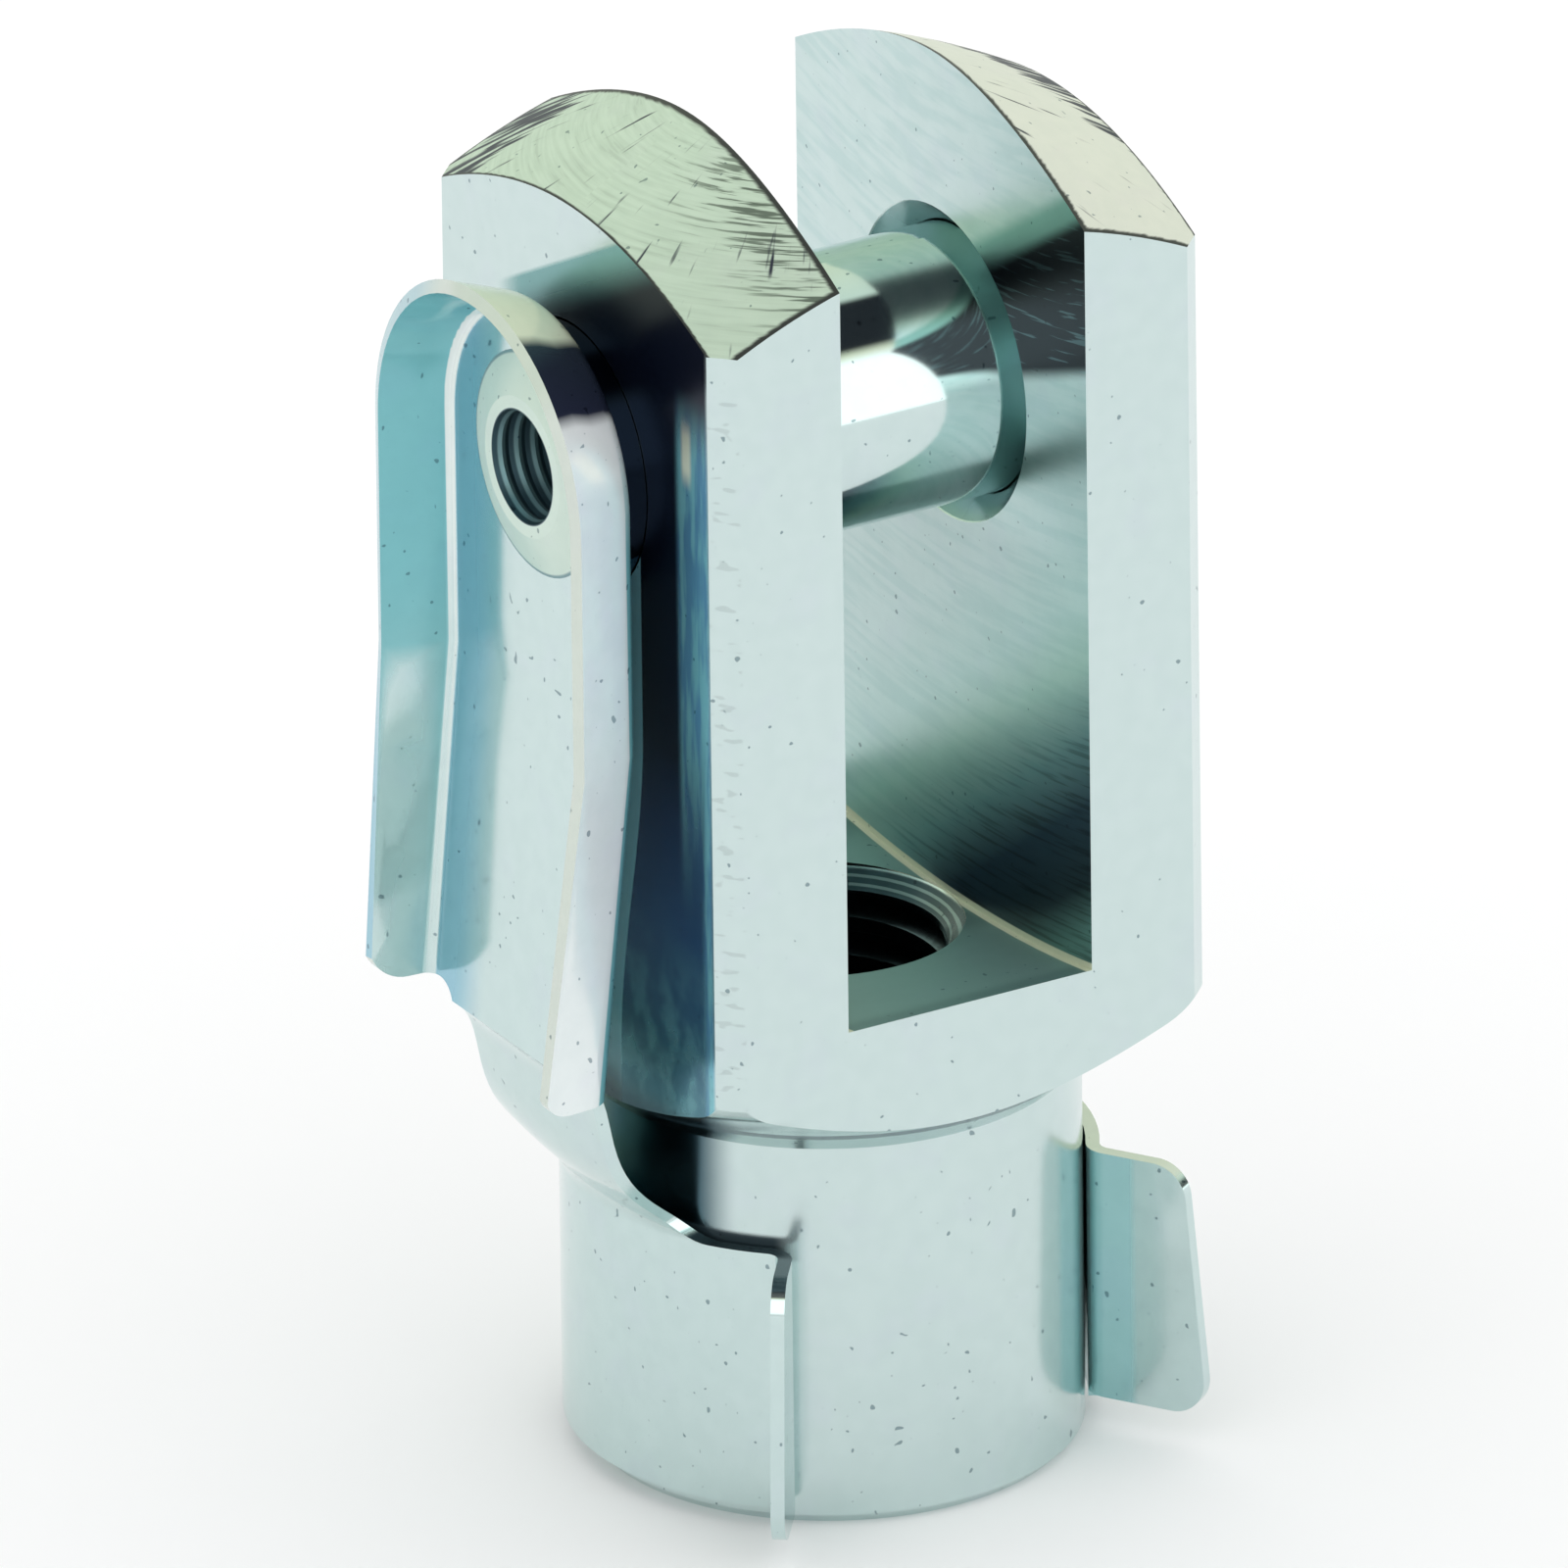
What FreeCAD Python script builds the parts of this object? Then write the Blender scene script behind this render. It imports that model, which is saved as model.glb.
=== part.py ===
import FreeCAD, Part
import math
import os

import Sketcher

# A clevis rod end in millimetres: a forked bar, a pin and the spring clip that keeps the pin in.
# +Z runs up the thread, the origin is the centre of the neck's end face, and the pin lies along X.

doc = FreeCAD.newDocument("clevis_rod_end")

SIZES = {
    # Fork
    "bar_width": 20.0,
    "corner_chamfer": 0.8,
    "dome_rim_radius": 4.6,
    "dome_corner_depth": 5.2,
    "dome_curve_radius": 40.0,
    "slot_width": 10.0,
    "slot_floor_height": 19.4,
    "slot_cutter_radius": 62.5,
    "neck_radius": 9.0,
    "neck_length": 14.7,
    "neck_chamfer": 0.4,
    "shoulder_chamfer": 0.9,
    "shoulder_cone_angle": 31.0,
    "shoulder_round": 2.2,
    "shoulder_radius": 13.9,
    "thread_core_radius": 4.25,
    "thread_mouth_radius": 5.1,
    "slot_mouth_radius": 4.9,
    "pin_height": 40.0,
    "tip_length_over_pin": 12.0,
    "pin_radius": 5.0,
    "bore_countersink": 0.85,
    # Pin
    "pin_clearance": 0.05,
    "pin_overhang": 0.8,
    "pin_tip_chamfer": 0.8,
    "rivet_shank_radius": 3.1,
    "rivet_clearance": 0.05,
    "rivet_head_radius": 4.15,
    "rivet_rim_radius": 2.6,
    "rivet_head_height": 0.55,
    "rivet_hole_radius": 2.1,
    "rivet_hole_depth": 4.0,
    "rivet_hole_point": 1.0,
    "rivet_ridge_depth": 0.12,
    # Spring clip
    "sheet_thickness": 0.5,
    "clip_gap_width": 1.15,
    "bend_radius": 1.0,
    "head_half_width": 6.45,
    "head_flange_depth": 2.35,
    "head_flange_angle": 20.0,
    "channel_bend_height": 31.0,
    "channel_end_height": 17.8,
    "back_end_lift_height": 0.6,
    "channel_end_lean_depth": 1.25,
    "channel_end_half_width": 6.25,
    "channel_end_flange_depth": 2.4,
    "channel_end_angle": 3.0,
    "back_flange_round": 1.5,
    "front_flange_round": 1.0,
    "strip_half_width": 4.2,
    "strip_root_round": 1.0,
    "strip_clamp_round": 1.0,
    "clamp_clearance": 0.1,
    "clamp_bottom": 0.9,
    "clamp_top": 10.8,
    "clamp_front_length": 1.36,
    "clamp_side_angle": -32.0,
    "front_ear_angle": 233.0,
    "side_ear_angle": 303.0,
    "front_ear_length": 2.4,
    "side_ear_length": 3.2,
    "side_ear_lift_height": 0.35,
    "ear_slant_length": 0.9,
    "ear_corner_round": 1.3,
}

RIVET_RIDGES = 6
HALF_TURN = 180.0

# Levels of the strip from the channel down to the clamp: name, share of the way down, and the
# shares of the way in to the neck that its middle and its sides have gone there.
STRIP_LEVELS = (
    ("strip_top", 0.0, 0.0, 0.02),
    ("strip_shoulder", 0.15, 0.2, 0.166),
    ("strip_waist", 0.45, 0.32, 0.281),
    ("strip_swing", 0.75, 0.66, 0.582),
    ("strip_landing", 0.9, 0.93, 0.865),
    ("strip_foot", 1.0, 1.0, 1.0),
)

sheet = doc.addObject("Spreadsheet::Sheet", "Sizes")
for row, (alias, number) in enumerate(SIZES.items(), start=1):
    sheet.set(f"A{row}", alias)
    sheet.set(f"B{row}", str(number))
    sheet.setAlias(f"B{row}", alias)
doc.recompute()


class Size:
    """A number worked out from the sheet, with the expression that gives it."""

    def __init__(self, value, text):
        self.value = value
        self.text = text

    def __add__(self, other):
        other = as_size(other)
        return Size(self.value + other.value, f"({self.text} + {other.text})")

    def __sub__(self, other):
        other = as_size(other)
        return Size(self.value - other.value, f"({self.text} - {other.text})")

    def __mul__(self, other):
        other = as_size(other)
        return Size(self.value * other.value, f"({self.text} * {other.text})")

    def __truediv__(self, other):
        other = as_size(other)
        return Size(self.value / other.value, f"({self.text} / {other.text})")

    def __neg__(self):
        return Size(-self.value, f"(0 - {self.text})")


def as_size(number):
    return number if isinstance(number, Size) else Size(float(number), f"({float(number)})")


def size(alias):
    return Size(float(sheet.get(alias)), f"Sizes.{alias}")


def root(number):
    return Size(math.sqrt(number.value), f"sqrt({number.text})")


def sine(degrees):
    return Size(math.sin(math.radians(degrees.value)), f"sin({degrees.text} * 1 deg)")


def cosine(degrees):
    return Size(math.cos(math.radians(degrees.value)), f"cos({degrees.text} * 1 deg)")


def arcsine(share):
    return Size(math.degrees(math.asin(share.value)), f"(asin({share.text}) / 1 deg)")


def polar(radius, degrees):
    return radius * cosine(degrees), radius * sine(degrees)


ZERO = as_size(0)
HALF_BAR = size("bar_width") / 2
CORNER = HALF_BAR - size("corner_chamfer")
HALF_SLOT = size("slot_width") / 2
BEYOND = HALF_BAR * 2
THROUGH = BEYOND * 2
PIN_HEIGHT = size("pin_height")
TOP = PIN_HEIGHT + size("tip_length_over_pin")
SHEET = size("sheet_thickness")
GRIP_INSIDE = size("neck_radius") + size("clamp_clearance")
GRIP_OUTSIDE = GRIP_INSIDE + SHEET
BLEND_HALF_WIDTH = size("strip_half_width") + size("strip_clamp_round")


def new_body(label):
    body = doc.addObject("PartDesign::Body", label)
    body.Label = label
    body.Placement = FreeCAD.Placement()
    return body


def new_sketch(body, name, role, offset=(ZERO, ZERO, ZERO)):
    """A sketch on one of the body's own planes, moved by offset in the plane's own directions."""
    plane = next(item for item in body.Origin.OriginFeatures if item.Role == role)
    sketch = body.newObject("Sketcher::SketchObject", name)
    sketch.AttachmentSupport = [(plane, "")]
    sketch.MapMode = "FlatFace"
    sketch.AttachmentOffset = FreeCAD.Placement(
        FreeCAD.Vector(*(part.value for part in offset)), FreeCAD.Rotation()
    )
    for axis, part in zip("xyz", offset):
        if part is not ZERO:
            sketch.setExpression(f"AttachmentOffset.Base.{axis}", part.text)
    return sketch


def pin_down(sketch, geometry, end, point):
    """Ties one end of a line or an arc to its place in the sketch."""
    for kind, distance in zip(("DistanceX", "DistanceY"), point):
        if distance is ZERO:
            axis = -2 if kind == "DistanceX" else -1
            sketch.addConstraint(Sketcher.Constraint("PointOnObject", geometry, end, axis))
            continue
        index = sketch.addConstraint(
            Sketcher.Constraint(kind, -1, 1, geometry, end, distance.value)
        )
        sketch.setExpression(f"Constraints[{index}]", distance.text)


def arc_between(start, end, radius, turns_left):
    """The arc of a path that leaves start, turns left or right and reaches end."""
    first = FreeCAD.Vector(start[0].value, start[1].value, 0)
    last = FreeCAD.Vector(end[0].value, end[1].value, 0)
    chord = last - first
    side = FreeCAD.Vector(-chord.y, chord.x, 0).normalize()
    height = math.sqrt(max(radius.value**2 - (chord.Length / 2) ** 2, 0))
    centre = first + chord * 0.5 + side * (height if turns_left else -height)
    ends = (first, last) if turns_left else (last, first)
    angles = [math.atan2(point.y - centre.y, point.x - centre.x) for point in ends]
    circle = Part.Circle(centre, FreeCAD.Vector(0, 0, 1), radius.value)
    return Part.ArcOfCircle(circle, angles[0], angles[1])


def draw_outline(sketch, corners):
    """A closed outline. A corner is (x, y), or (x, y, radius, turns_left) if an arc leaves it."""
    joints = []
    for index, corner in enumerate(corners):
        start = corner[:2]
        end = corners[(index + 1) % len(corners)][:2]
        if len(corner) == 2:
            line = Part.LineSegment(
                FreeCAD.Vector(start[0].value, start[1].value, 0),
                FreeCAD.Vector(end[0].value, end[1].value, 0),
            )
            joints.append((sketch.addGeometry(line), 1, 2))
            continue
        radius, turns_left = corner[2:]
        arc = sketch.addGeometry(arc_between(start, end, radius, turns_left))
        bend = sketch.addConstraint(Sketcher.Constraint("Radius", arc, radius.value))
        sketch.setExpression(f"Constraints[{bend}]", radius.text)
        joints.append((arc, 1, 2) if turns_left else (arc, 2, 1))
    for index, (geometry, start_end, _) in enumerate(joints):
        before, _, before_end = joints[index - 1]
        sketch.addConstraint(
            Sketcher.Constraint("Coincident", before, before_end, geometry, start_end)
        )
        pin_down(sketch, geometry, start_end, corners[index][:2])


def draw_circle(sketch, centre, radius):
    middle = FreeCAD.Vector(centre[0].value, centre[1].value, 0)
    circle = sketch.addGeometry(Part.Circle(middle, FreeCAD.Vector(0, 0, 1), radius.value))
    index = sketch.addConstraint(Sketcher.Constraint("Radius", circle, radius.value))
    sketch.setExpression(f"Constraints[{index}]", radius.text)
    pin_down(sketch, circle, 3, centre)


def extrude(body, kind, sketch, length, reverse=False, both_ways=False):
    feature = body.newObject(f"PartDesign::{kind}", f"{kind}_{sketch.Label}")
    feature.Profile = sketch
    feature.Length = length.value
    feature.setExpression("Length", length.text)
    feature.Reversed = reverse
    feature.SideType = "Symmetric" if both_ways else "One side"
    return feature


def turn(body, kind, sketch, axis, angle=360.0, both_ways=False, reverse=False):
    feature = body.newObject(f"PartDesign::{kind}", f"{kind}_{sketch.Label}")
    feature.Profile = sketch
    feature.ReferenceAxis = (sketch, [axis])
    feature.Angle = angle
    feature.Midplane = both_ways
    feature.Reversed = reverse
    return feature


def loft(body, sketches, ruled):
    feature = body.newObject("PartDesign::AdditiveLoft", f"Loft_{sketches[0].Label}")
    feature.Profile = sketches[0]
    feature.Sections = sketches[1:]
    feature.Ruled = ruled
    return feature


def fillet_edges(body, name, radius, chosen):
    """Rounds the edges of the body's last feature that chosen picks out."""
    doc.recompute()
    base = body.Tip
    names = [f"Edge{index}" for index, edge in enumerate(base.Shape.Edges, start=1) if chosen(edge)]
    if not names:
        raise ValueError(f"{name} found no edge")
    feature = body.newObject("PartDesign::Fillet", name)
    feature.Base = (base, names)
    feature.Radius = radius.value
    feature.setExpression("Radius", radius.text)
    return feature


# Fork

def build_fork():
    body = new_body("fork")
    chamfered_square = []
    for across, along in ((1, 1), (-1, 1), (-1, -1), (1, -1)):
        near = (HALF_BAR * across, CORNER * along)
        far = (CORNER * across, HALF_BAR * along)
        chamfered_square += [near, far] if across == along else [far, near]
    bar = new_sketch(body, "bar_section", "XY_Plane")
    draw_outline(bar, chamfered_square)
    extrude(body, "Pad", bar, TOP)

    neck_turning(body)
    dome_turning(body)
    slot_milling(body)
    bore_drilling(body)
    thread_drilling(body)
    return body


def neck_turning(body):
    neck = size("neck_radius")
    length = size("neck_length")
    step = size("shoulder_chamfer")
    slope = size("shoulder_cone_angle")
    turn_round = size("shoulder_round")
    widest = size("shoulder_radius")
    cone_end = widest - turn_round * (as_size(1) - sine(slope))
    cone_top = length + step + (cone_end - neck - step) * sine(slope) / cosine(slope)
    round_top = cone_top + turn_round * cosine(slope)
    chamfer = size("neck_chamfer")
    turned = new_sketch(body, "neck_turning", "XZ_Plane")
    draw_outline(turned, [
        (neck - chamfer, ZERO),
        (neck, chamfer),
        (neck, length),
        (neck + step, length + step),
        (cone_end, cone_top, turn_round, True),
        (widest, round_top),
        (BEYOND, round_top),
        (BEYOND, ZERO),
    ])
    turn(body, "Groove", turned, "V_Axis")


def dome_turning(body):
    rim = size("dome_rim_radius")
    corner = HALF_BAR * math.sqrt(2.0)
    low = TOP - size("dome_corner_depth")
    for name, reverse in (("back", False), ("front", True)):
        turned = new_sketch(body, f"dome_turning_{name}", "XZ_Plane")
        draw_outline(turned, [
            (rim, TOP, size("dome_curve_radius"), False),
            (corner, low),
            (BEYOND, low),
            (BEYOND, TOP + rim),
            (rim, TOP + rim),
        ])
        turn(body, "Groove", turned, "V_Axis", angle=HALF_TURN, reverse=reverse)


def slot_milling(body):
    floor = size("slot_floor_height")
    cutter = size("slot_cutter_radius")
    edge = floor + cutter - root(cutter * cutter - BEYOND * BEYOND / 4)
    milled = new_sketch(body, "slot_milling", "YZ_Plane")
    half = BEYOND / 2
    draw_outline(milled, [
        (-half, edge, cutter, True),
        (half, edge),
        (half, TOP + half),
        (-half, TOP + half),
    ])
    extrude(body, "Pocket", milled, size("slot_width"), both_ways=True)


def bore_drilling(body):
    drilled = new_sketch(body, "cross_bore", "YZ_Plane")
    draw_circle(drilled, (ZERO, PIN_HEIGHT), size("pin_radius"))
    extrude(body, "Pocket", drilled, THROUGH, both_ways=True)
    mouth = size("bore_countersink")
    radius = size("pin_radius")
    for name, side in (("near", -1), ("far", 1)):
        cone = new_sketch(body, f"bore_mouth_{name}", "XZ_Plane", (ZERO, PIN_HEIGHT, ZERO))
        draw_outline(cone, [
            (HALF_SLOT * side, ZERO),
            (HALF_SLOT * side, radius + mouth),
            ((HALF_SLOT + mouth) * side, radius),
            ((HALF_SLOT + mouth) * side, ZERO),
        ])
        turn(body, "Groove", cone, "H_Axis")


def thread_drilling(body):
    core = size("thread_core_radius")
    mouth = size("thread_mouth_radius")
    floor = size("slot_floor_height")
    drilled = new_sketch(body, "thread_bore", "XY_Plane")
    draw_circle(drilled, (ZERO, ZERO), core)
    extrude(body, "Pocket", drilled, floor + core, reverse=True)
    upper_mouth = size("slot_mouth_radius")
    cone = new_sketch(body, "thread_mouths", "XZ_Plane")
    draw_outline(cone, [
        (ZERO, ZERO),
        (mouth, ZERO),
        (core, mouth - core),
        (core, floor + core - upper_mouth),
        (upper_mouth, floor),
        (upper_mouth, floor + core),
        (ZERO, floor + core),
    ])
    turn(body, "Groove", cone, "V_Axis")


# Pin

def build_pin():
    body = new_body("clevis_pin")
    radius = size("pin_radius") - size("pin_clearance")
    shoulder = -(HALF_BAR + size("clip_gap_width"))
    tray = shoulder - SHEET
    rim = tray - size("rivet_head_height")
    tip = HALF_BAR + size("pin_overhang")
    tip_chamfer = size("pin_tip_chamfer")
    shank = size("rivet_shank_radius")
    outline = new_sketch(body, "pin_turning", "XZ_Plane", (ZERO, PIN_HEIGHT, ZERO))
    draw_outline(outline, [
        (tip, ZERO),
        (tip, radius - tip_chamfer),
        (tip - tip_chamfer, radius),
        (shoulder, radius),
        (shoulder, shank),
        (tray, shank),
        (tray, size("rivet_head_radius")),
        (rim, size("rivet_rim_radius")),
        (rim, ZERO),
    ])
    turn(body, "Revolution", outline, "H_Axis")
    rivet_hole(body, rim)
    return body


def rivet_hole(body, rim):
    """The blind hole of the hollow rivet, with the turned ridges that show round its wall."""
    wide = size("rivet_hole_radius")
    narrow = wide - size("rivet_ridge_depth")
    depth = size("rivet_hole_depth")
    step = depth / (2 * RIVET_RIDGES)
    corners = [(rim, ZERO)]
    for index in range(RIVET_RIDGES):
        corners.append((rim + step * (2 * index), wide))
        corners.append((rim + step * (2 * index + 1), narrow))
    corners.append((rim + depth, narrow))
    corners.append((rim + depth + size("rivet_hole_point"), ZERO))
    bored = new_sketch(body, "rivet_hole", "XZ_Plane", (ZERO, PIN_HEIGHT, ZERO))
    draw_outline(bored, corners)
    turn(body, "Groove", bored, "H_Axis")


# Spring clip

def flange_side(back, half_width, depth, flare):
    """One bent-up side of the channel: its outer corners, then its inner ones, root first."""
    bend = size("bend_radius")
    inner_bend = bend - SHEET
    centre = (back - bend, half_width - bend)
    reach = depth + SHEET - bend + bend * sine(flare)
    outer_bend_end = (centre[0] + bend * sine(flare), centre[1] + bend * cosine(flare))
    outer_tip = (
        outer_bend_end[0] - reach,
        outer_bend_end[1] + reach * sine(flare) / cosine(flare),
    )
    inner_bend_end = (
        centre[0] + inner_bend * sine(flare),
        centre[1] + inner_bend * cosine(flare),
    )
    inner_tip = (outer_tip[0] - SHEET * sine(flare), outer_tip[1] - SHEET * cosine(flare))
    outer = [(back, centre[1]), outer_bend_end, outer_tip]
    inner = [(back - SHEET, centre[1]), inner_bend_end, inner_tip]
    return outer, inner


def channel_outline(back, half_width, depth, flare):
    bend = size("bend_radius")
    inner_bend = bend - SHEET
    outer, inner = flange_side(back, half_width, depth, flare)
    mirrored_outer = [(x, -y) for x, y in outer]
    mirrored_inner = [(x, -y) for x, y in inner]
    return [
        outer[0] + (bend, True),
        outer[1],
        outer[2],
        inner[2],
        inner[1] + (inner_bend, False),
        inner[0],
        mirrored_inner[0] + (inner_bend, False),
        mirrored_inner[1],
        mirrored_inner[2],
        mirrored_outer[2],
        mirrored_outer[1] + (bend, True),
        mirrored_outer[0],
    ]


def build_clip():
    body = new_body("spring_clip")
    head_channel(body)
    clip_strip(body)
    clamp_ring(body)
    return body


def head_channel(body):
    bend = size("bend_radius")
    back = -(HALF_BAR + size("clip_gap_width"))
    head = (
        back,
        size("head_half_width"),
        size("head_flange_depth"),
        size("head_flange_angle"),
    )
    outer, inner = flange_side(*head)
    arch = new_sketch(body, "head_arch", "XZ_Plane", (ZERO, PIN_HEIGHT, ZERO))
    draw_outline(arch, [
        (back, ZERO),
        outer[0] + (bend, True),
        outer[1],
        outer[2],
        inner[2],
        inner[1] + (bend - SHEET, False),
        inner[0],
        (back - SHEET, ZERO),
    ])
    turn(body, "Revolution", arch, "H_Axis", angle=HALF_TURN, both_ways=True)

    straight = new_sketch(body, "head_channel", "XY_Plane", (ZERO, ZERO, PIN_HEIGHT))
    draw_outline(straight, channel_outline(*head))
    bend_height = size("channel_bend_height")
    extrude(body, "Pad", straight, PIN_HEIGHT - bend_height, reverse=True)

    upper = new_sketch(body, "lean_start", "XY_Plane", (ZERO, ZERO, bend_height))
    draw_outline(upper, channel_outline(*head))
    end = size("channel_end_height")
    channel_end = (
        back - size("channel_end_lean_depth"),
        size("channel_end_half_width"),
        size("channel_end_flange_depth"),
        size("channel_end_angle"),
    )
    lower = new_sketch(body, "lean_end", "XY_Plane", (ZERO, ZERO, end))
    draw_outline(lower, channel_outline(*channel_end))
    loft(body, [upper, lower], ruled=True)

    hole = new_sketch(body, "rivet_seat", "YZ_Plane")
    draw_circle(hole, (ZERO, PIN_HEIGHT), size("rivet_shank_radius") + size("rivet_clearance"))
    extrude(body, "Pocket", hole, THROUGH, both_ways=True)

    end_rounds(body, end, channel_end)


def end_rounds(body, end, channel_end):
    """Rounds the flanges' lower corners, seen along Y. The back flange ends higher up."""
    outer, _ = flange_side(*channel_end)
    tip = outer[2][0]
    ends = (
        ("back", end + size("back_end_lift_height"), size("back_flange_round"), False),
        ("front", end, size("front_flange_round"), True),
    )
    for name, low, radius, reverse in ends:
        corner = new_sketch(body, f"flange_end_{name}", "XZ_Plane")
        draw_outline(corner, [
            (tip + radius, low, radius, False),
            (tip, low + radius),
            (tip - radius, low + radius),
            (tip - radius, low - radius),
            (tip + radius, low - radius),
        ])
        extrude(body, "Pocket", corner, BEYOND, reverse=reverse)


def strip_section(body, name, height, out, side):
    """One level of the strip: its outer face is at out in the middle and bows in to side."""
    half_width = BLEND_HALF_WIDTH
    sketch = new_sketch(body, name, "XY_Plane", (ZERO, ZERO, height))
    sink = side - out
    radius = (half_width * half_width + sink * sink) / (sink * 2)
    inner_radius = radius - SHEET
    inner_sink = inner_radius - root(inner_radius * inner_radius - half_width * half_width)
    draw_outline(sketch, [
        (side, half_width, radius, True),
        (side, -half_width),
        (out + SHEET + inner_sink, -half_width, inner_radius, False),
        (out + SHEET + inner_sink, half_width),
    ])
    return sketch


def clip_strip(body):
    """The strip from the channel's end down to the clamp: it swings in and takes the neck's bow."""
    end = size("channel_end_height")
    clamp_top = size("clamp_top")
    tray = -(HALF_BAR + size("clip_gap_width") + size("channel_end_lean_depth") + SHEET)
    clamp_side = -root(GRIP_OUTSIDE * GRIP_OUTSIDE - BLEND_HALF_WIDTH * BLEND_HALF_WIDTH)
    middle_travel = -GRIP_OUTSIDE - tray
    side_travel = clamp_side - tray
    sections = []
    for name, down, middle, side in STRIP_LEVELS:
        height = end - (end - clamp_top) * down
        out = tray + middle_travel * middle
        sections.append(strip_section(body, name, height, out, tray + side_travel * side))
    loft(body, sections, ruled=False)

    half = size("strip_half_width")
    small = size("strip_root_round")
    large = size("strip_clamp_round")
    for name, side, low in (("back", 1, end + size("back_end_lift_height")), ("front", -1, end)):
        trimmed = new_sketch(body, f"strip_edge_{name}", "YZ_Plane")
        left = side > 0
        draw_outline(trimmed, [
            ((half + small) * side, low, small, left),
            (half * side, low - small),
            (half * side, clamp_top + large, large, left),
            ((half + large) * side, clamp_top),
            (BEYOND * side, clamp_top),
            (BEYOND * side, low),
        ])
        extrude(body, "Pocket", trimmed, THROUGH, both_ways=True)


def clamp_ring(body):
    """The open ring round the neck and its two ears."""
    bottom = size("clamp_bottom")
    lifted = bottom + size("side_ear_lift_height")
    top = size("clamp_top")
    past_strip = BLEND_HALF_WIDTH + size("clamp_front_length")
    front = as_size(HALF_TURN) + arcsine(past_strip / GRIP_INSIDE)
    side = size("clamp_side_angle")
    middle = (front + side) / 2
    ring = new_sketch(body, "clamp_ring", "XY_Plane", (ZERO, ZERO, bottom))
    draw_outline(ring, [
        polar(GRIP_OUTSIDE, side) + (GRIP_OUTSIDE, True),
        polar(GRIP_OUTSIDE, middle) + (GRIP_OUTSIDE, True),
        polar(GRIP_OUTSIDE, front),
        polar(GRIP_INSIDE, front) + (GRIP_INSIDE, False),
        polar(GRIP_INSIDE, middle) + (GRIP_INSIDE, False),
        polar(GRIP_INSIDE, side),
    ])
    extrude(body, "Pad", ring, top - bottom)

    ears = (
        ("front", front, size("front_ear_angle"), size("front_ear_length"), bottom, 1),
        ("side", side, size("side_ear_angle"), size("side_ear_length"), lifted, -1),
    )
    for name, angle, direction, length, low, hand in ears:
        levels = (("low", low, length + size("ear_slant_length")), ("high", top, length))
        sections = []
        for level, height, reach in levels:
            sketch = new_sketch(body, f"ear_{name}_{level}", "XY_Plane", (ZERO, ZERO, height))
            draw_outline(sketch, ear_outline(angle, direction, reach, hand))
            sections.append(sketch)
        loft(body, sections, ruled=True)

    ends = (bottom.value, lifted.value, top.value)
    beyond_ring = GRIP_OUTSIDE.value + size("bend_radius").value

    def at_ear_tip(edge):
        points = [vertex.Point for vertex in edge.Vertexes]
        level = any(all(abs(point.z - end) < SHEET.value / 10 for point in points) for end in ends)
        far = all(math.hypot(point.x, point.y) > beyond_ring for point in points)
        return level and far and abs(edge.Length - SHEET.value) < SHEET.value / 5

    fillet_edges(body, "ear_corners", size("ear_corner_round"), at_ear_tip)


def ear_outline(angle, direction, length, hand):
    """A bend that leaves the ring's end and turns outward, then the straight ear."""
    bend = size("bend_radius")
    sheet_side = bend - SHEET
    centre = polar(GRIP_OUTSIDE + sheet_side, angle)
    along = polar(length, direction)
    normal = polar(as_size(1), direction + 90 * hand)
    near_end = (centre[0] + normal[0] * sheet_side, centre[1] + normal[1] * sheet_side)
    far_end = (centre[0] + normal[0] * bend, centre[1] + normal[1] * bend)
    near_start = polar(GRIP_OUTSIDE, angle)
    far_start = polar(GRIP_INSIDE, angle)
    turns_left = hand < 0
    return [
        near_start + (sheet_side, turns_left),
        near_end,
        (near_end[0] + along[0], near_end[1] + along[1]),
        (far_end[0] + along[0], far_end[1] + along[1]),
        far_end + (bend, not turns_left),
        far_start,
    ]


# Files

def main():
    bodies = [build_fork(), build_pin(), build_clip()]
    doc.recompute()
    for item in doc.Objects:
        if "Invalid" in item.State or "Error" in item.State:
            raise ValueError(f"{item.Label} did not build: {item.State}")
    os.makedirs("parts", exist_ok=True)
    for body in bodies:
        if body.Shape.isNull() or not body.Shape.isValid() or len(body.Shape.Solids) != 1:
            raise ValueError(f"{body.Label} is not one sound solid")
        body.Shape.exportStep(f"parts/{body.Label}.step")
        print(body.Label, round(body.Shape.Volume, 2), body.Shape.BoundBox)


main()
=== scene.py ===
import math
from collections import namedtuple

import bmesh
import bpy
from mathutils import Matrix, Vector


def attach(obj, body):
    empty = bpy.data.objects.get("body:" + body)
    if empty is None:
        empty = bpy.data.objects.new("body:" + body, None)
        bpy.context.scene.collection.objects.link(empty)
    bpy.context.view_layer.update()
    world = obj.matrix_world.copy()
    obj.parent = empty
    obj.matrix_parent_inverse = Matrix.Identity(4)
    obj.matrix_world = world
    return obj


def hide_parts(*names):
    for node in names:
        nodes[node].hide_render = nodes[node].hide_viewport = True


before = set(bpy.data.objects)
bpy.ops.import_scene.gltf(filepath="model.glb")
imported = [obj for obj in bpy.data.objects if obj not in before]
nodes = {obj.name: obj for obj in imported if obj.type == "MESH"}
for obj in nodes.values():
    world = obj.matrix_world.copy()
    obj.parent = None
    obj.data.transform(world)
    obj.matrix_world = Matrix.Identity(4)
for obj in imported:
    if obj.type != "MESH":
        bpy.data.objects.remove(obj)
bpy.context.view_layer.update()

MM = 0.001

# Camera: far away with a long lens, so the picture is nearly a parallel view

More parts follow.
